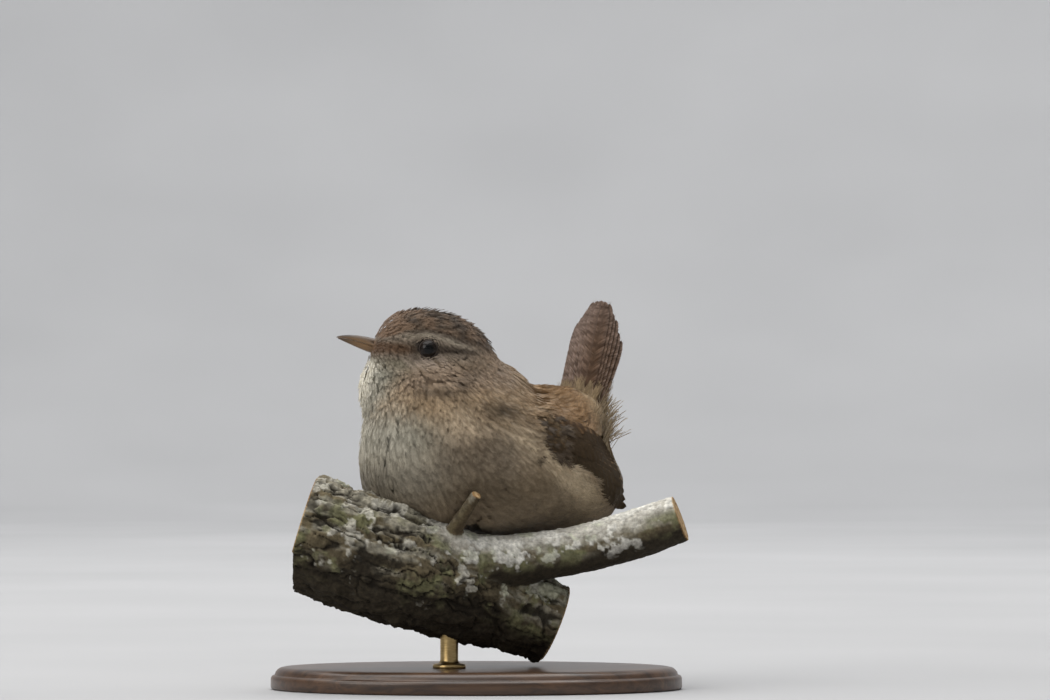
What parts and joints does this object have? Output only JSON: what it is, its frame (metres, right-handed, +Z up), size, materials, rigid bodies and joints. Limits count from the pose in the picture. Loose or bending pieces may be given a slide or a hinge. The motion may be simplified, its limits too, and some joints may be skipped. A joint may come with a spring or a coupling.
{
  "type": "perched wren model",
  "caption": "Still, life-size model of a fluffed-up wren with a cocked tail, crouched on a cut length of forked branch held by a rod in an oval base.",
  "frame": {"origin": "middle of the oval base's underside", "axes": "+Z up from the base; the bird's head and bill look along -X; +Y is the side that the bird's right wing is on"},
  "size_m": [0.0933, 0.0648, 0.0866],
  "materials": {
    "crown": "dull, feathered",
    "breast": "dull, feathered",
    "trunk": "dull, feathered",
    "wing": "silky, barred",
    "tail": "silky, barred",
    "horn": "horn, slight gloss",
    "horn_pale": "horn, slight gloss",
    "eye": "wet gloss",
    "leg": "scaly skin",
    "claw": "horn, slight gloss",
    "bark": "rough bark with lichen",
    "wood": "oiled, satin",
    "metal": "satin"
  },
  "bodies": {
    "root": {"head": "crown", "neck": "breast", "trunk": "trunk", "bill_upper": "horn", "bill_lower": "horn_pale", "eye_l": "eye", "eye_r": "eye", "wing_l": "wing", "wing_r": "wing", "tail": "tail", "leg_l": "leg", "claw_hind_l": "claw", "claw_inner_l": "claw", "claw_middle_l": "claw", "claw_outer_l": "claw", "leg_r": "leg", "claw_hind_r": "claw", "claw_inner_r": "claw", "claw_middle_r": "claw", "claw_outer_r": "claw", "perch": "bark", "stand_rod": "metal", "stand_base": "wood"}
  },
  "joints": []
}
